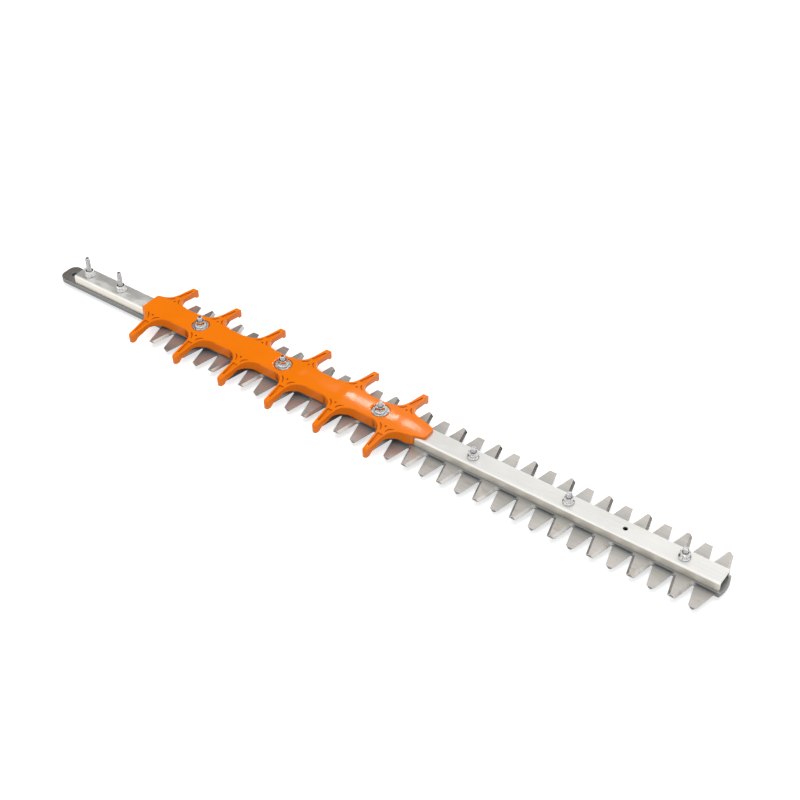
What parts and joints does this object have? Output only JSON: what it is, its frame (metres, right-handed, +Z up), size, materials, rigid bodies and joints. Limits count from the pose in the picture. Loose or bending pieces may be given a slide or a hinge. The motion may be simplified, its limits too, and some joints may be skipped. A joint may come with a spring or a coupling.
{
  "type": "hedge trimmer cutter bar",
  "caption": "Double-sided hedge trimmer cutter bar: channel rail over two sliding toothed blades, with a moulded finger guard and drive-end studs.",
  "frame": {"origin": "midway between the two fixing studs of the drive end, on the guide rail's top face", "axes": "+X along the bar to its tip, +Y across the bar, +Z up out of the rail along the studs"},
  "size_m": [0.7554, 0.096, 0.0405],
  "materials": {
    "blade_steel": "ground steel with bevelled cutting edges",
    "rail_alloy": "bright drawn aluminium",
    "guard_plastic": "glossy moulded orange plastic",
    "zinc_steel": "bright zinc plating",
    "glide_steel": "plain hardened steel"
  },
  "bodies": {
    "fixed_bar": {"collar_screw_bar_1": "zinc_steel", "collar_screw_bar_2": "zinc_steel", "collar_screw_bar_3": "zinc_steel", "collar_screw_drive_end_front": "zinc_steel", "collar_screw_drive_end_rear": "zinc_steel", "collar_screw_guard_1": "zinc_steel", "collar_screw_guard_2": "zinc_steel", "collar_screw_guard_3": "zinc_steel", "finger_guard": "guard_plastic", "flange_nut_bar_1": "zinc_steel", "flange_nut_bar_2": "zinc_steel", "flange_nut_bar_3": "zinc_steel", "flange_nut_drive_end_front": "zinc_steel", "flange_nut_drive_end_rear": "zinc_steel", "flange_nut_guard_1": "zinc_steel", "flange_nut_guard_2": "zinc_steel", "flange_nut_guard_3": "zinc_steel", "glide_washer_bar_1": "glide_steel", "glide_washer_bar_2": "glide_steel", "glide_washer_bar_3": "glide_steel", "glide_washer_drive_end_front": "glide_steel", "glide_washer_drive_end_rear": "glide_steel", "glide_washer_guard_1": "glide_steel", "glide_washer_guard_2": "glide_steel", "glide_washer_guard_3": "glide_steel", "guard_washer_1": "zinc_steel", "guard_washer_2": "zinc_steel", "guard_washer_3": "zinc_steel", "guide_rail": "rail_alloy"},
    "upper_cutter": {"upper_blade": "blade_steel"},
    "lower_cutter": {"lower_blade": "blade_steel"}
  },
  "joints": [
    {"name": "upper_blade_stroke", "type": "slide", "parent": "fixed_bar", "child": "upper_cutter", "axis": [1, 0, 0], "range_m": [-0.0095, 0.0095]},
    {"name": "lower_blade_stroke", "type": "slide", "parent": "fixed_bar", "child": "lower_cutter", "axis": [1, 0, 0], "range_m": [-0.0095, 0.0095]}
  ]
}
